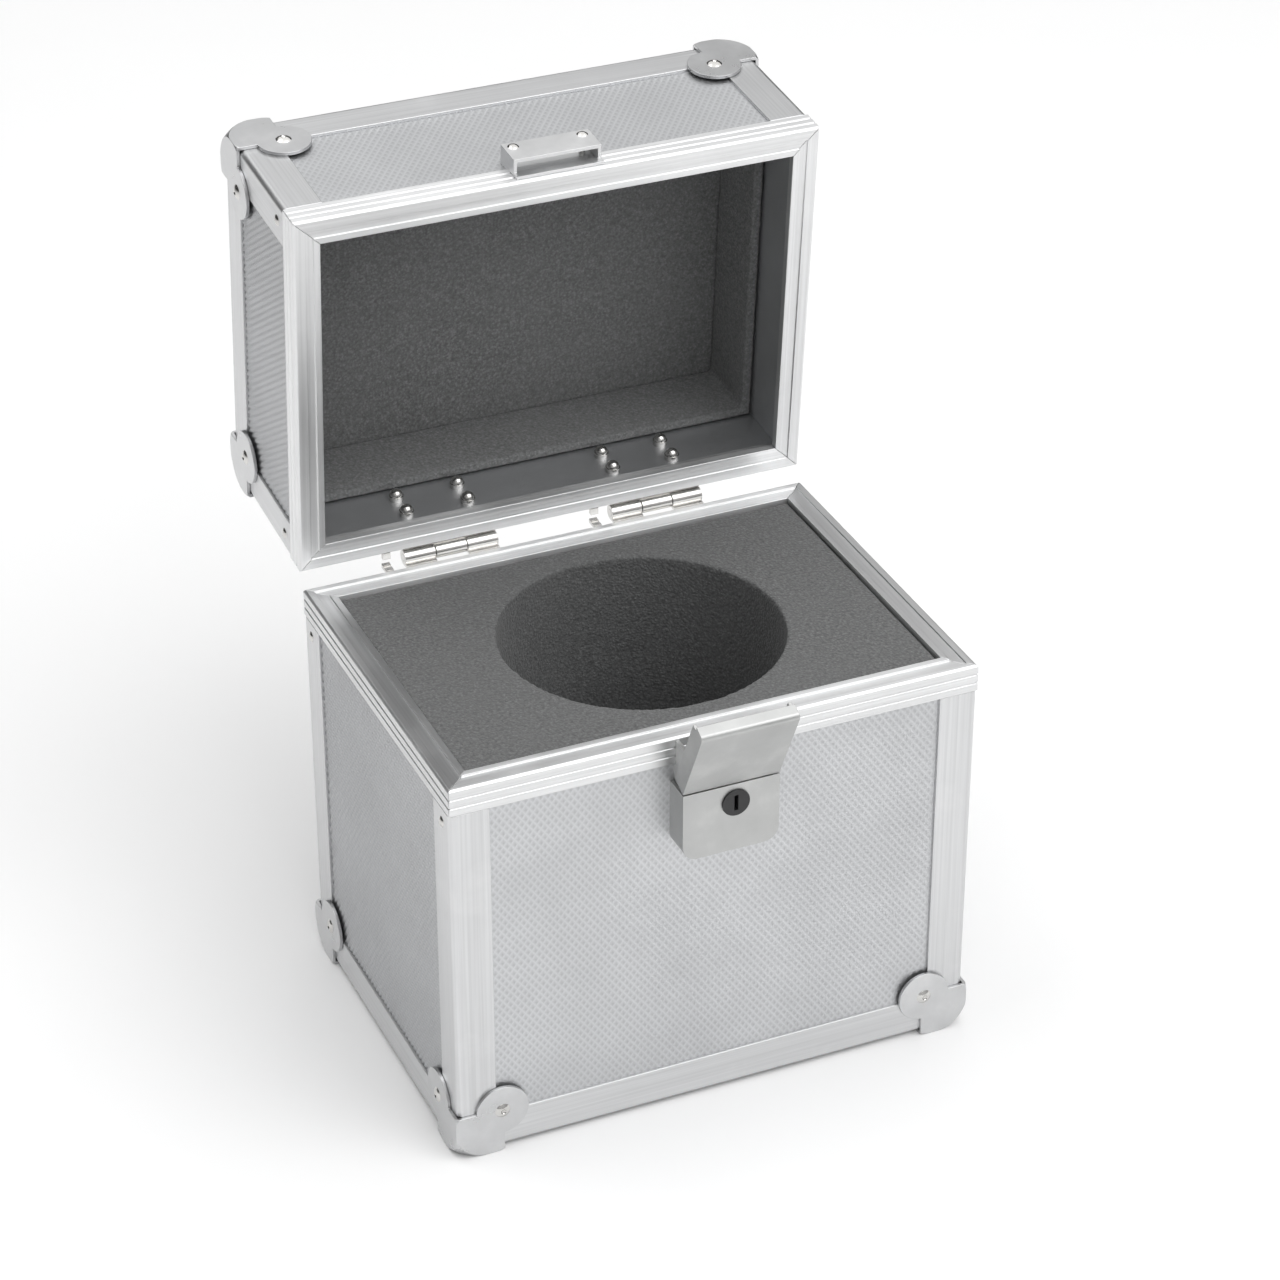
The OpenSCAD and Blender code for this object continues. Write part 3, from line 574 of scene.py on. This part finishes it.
PLAIN = {
    "base_rivets": NICKEL, "lid_rivets": NICKEL, "hinge_pins": NICKEL,
    "hinge_base_screws": NICKEL, "hinge_lid_screws": NICKEL, "latch_backplate": SATIN_NICKEL,
    "latch_rivets": NICKEL, "latch_pin": NICKEL, "lock_cam": NICKEL, "handle_pins": NICKEL,
}
for name, material in PLAIN.items():
    mesh = frame["nodes"][name].data
    mesh.materials.clear()
    mesh.materials.append(material)


# ---------------------------------------------------------------- stage, lights, camera

def floor():
    """A wide pale floor."""
    bpy.ops.mesh.primitive_plane_add(size=16.0)
    plane = bpy.context.object
    plane.name = "floor"
    plane.data.materials.append(paper_white("floor_white"))


def area_light(name, place, target, width, height, power):
    """A soft box that faces a target, with its power in watts."""
    data = bpy.data.lights.new(name, "AREA")
    data.shape = "RECTANGLE"
    data.size = width
    data.size_y = height
    data.energy = power
    light = bpy.data.objects.new(name, data)
    light.location = place
    light.rotation_euler = (Vector(target) - Vector(place)).to_track_quat("-Z", "Y").to_euler()
    bpy.context.scene.collection.objects.link(light)


def surroundings(side, dimmest, brightest):
    """Soft light from one side of a dim room."""
    world = bpy.data.worlds.new("studio")
    world.use_nodes = True
    tree = world.node_tree
    background = tree.nodes["Background"]
    direction = add(tree, "ShaderNodeTexCoord").outputs["Generated"]
    toward = add(tree, "ShaderNodeVectorMath", {"operation": "DOT_PRODUCT"})
    tree.links.new(direction, toward.inputs[0])
    toward.inputs[1].default_value = Vector(side).normalized()
    glow = ranged(tree, toward.outputs["Value"], dimmest, brightest, in_low=0.2, in_high=0.95)
    tree.links.new(glow, background.inputs["Strength"])
    background.inputs["Color"].default_value = (1.0, 1.0, 1.0, 1.0)
    bpy.context.scene.world = world


def camera(place, direction, lens):
    """The scene's camera, with its lens in millimetres."""
    data = bpy.data.cameras.new("camera")
    data.lens = lens
    data.sensor_width = 36.0
    data.clip_end = 50.0
    view = bpy.data.objects.new("camera", data)
    view.location = place
    view.rotation_euler = Vector(direction).to_track_quat("-Z", "Y").to_euler()
    bpy.context.scene.collection.objects.link(view)
    bpy.context.scene.camera = view


floor()
surroundings((0.1, -0.9, 0.4), 0.07, 0.55)
area_light("overhead", (0.4, 0.5, 2.2), (0.0, 0.0, 0.0), 4.0, 3.6, 51.0)
area_light("front_high", (0.5, -1.3, 1.9), (0.0, 0.0, 0.15), 2.4, 2.0, 26.0)
area_light("left_high", (-1.2, 0.5, 2.2), (0.0, 0.0, 0.0), 1.6, 1.6, 12.0)
camera((-0.5018, -1.1478, 0.9261), (0.34261, 0.78079, -0.52247), 110.0)
bpy.context.scene.view_settings.view_transform = "Standard"
